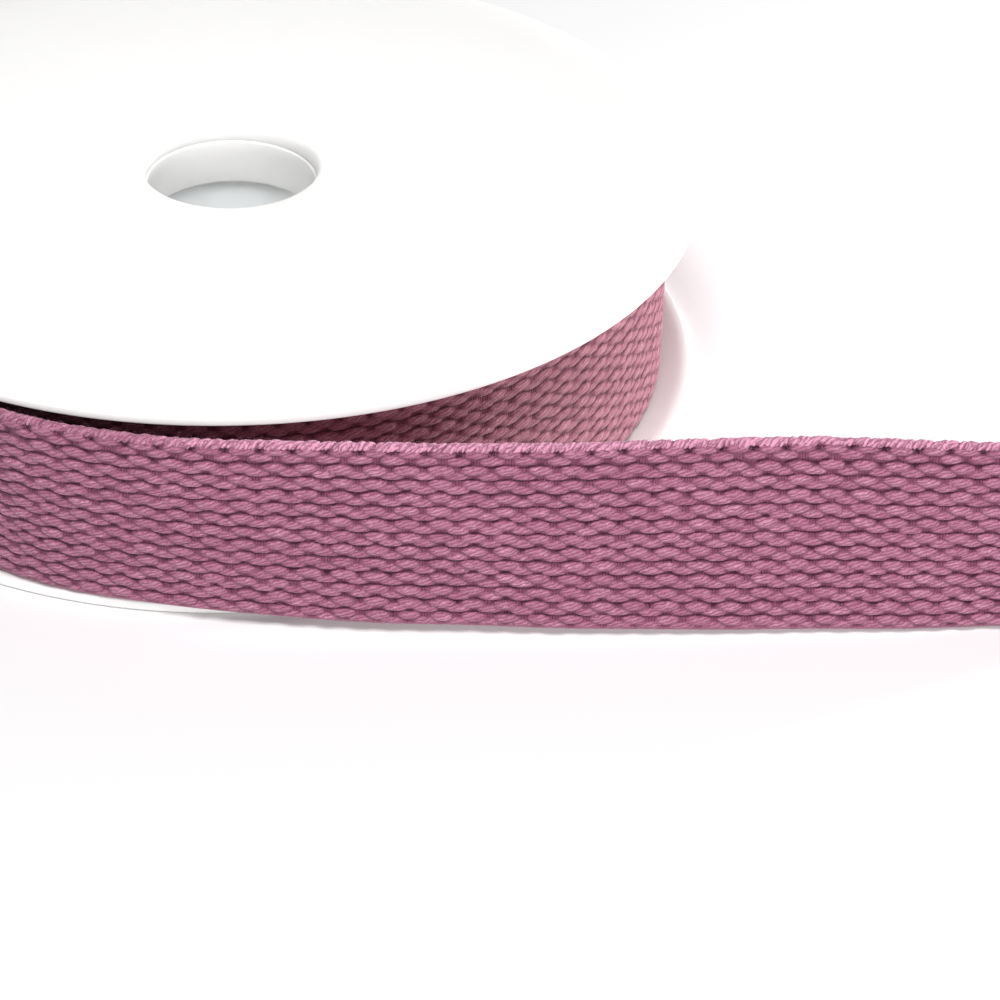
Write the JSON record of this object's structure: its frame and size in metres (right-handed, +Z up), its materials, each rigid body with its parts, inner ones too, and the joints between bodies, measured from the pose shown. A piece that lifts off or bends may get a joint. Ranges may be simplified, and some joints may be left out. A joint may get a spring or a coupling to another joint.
{
  "type": "roll of cotton webbing on a plastic reel",
  "caption": "Flat cotton webbing wound on a flanged plastic reel that lies on its side, with the loose end standing on edge in front of it.",
  "frame": {"origin": "bottom centre of the whole box, on the surface the reel lies on", "axes": "+X along the loose end, from the reel towards the cut end; +Y from the front, where the loose end stands, to the back; +Z up, along the reel's axis"},
  "size_m": [0.2784, 0.2026, 0.0451],
  "materials": {
    "reel_plastic": "smooth white moulded plastic, slightly glossy",
    "cotton_webbing": "matt dusty pink cotton in a coarse woven rib with twisted selvedges"
  },
  "bodies": {
    "root": {"flange_bottom": "reel_plastic", "flange_top": "reel_plastic", "core_tube": "reel_plastic", "wound_webbing": "cotton_webbing", "loose_end": "cotton_webbing"}
  },
  "joints": []
}
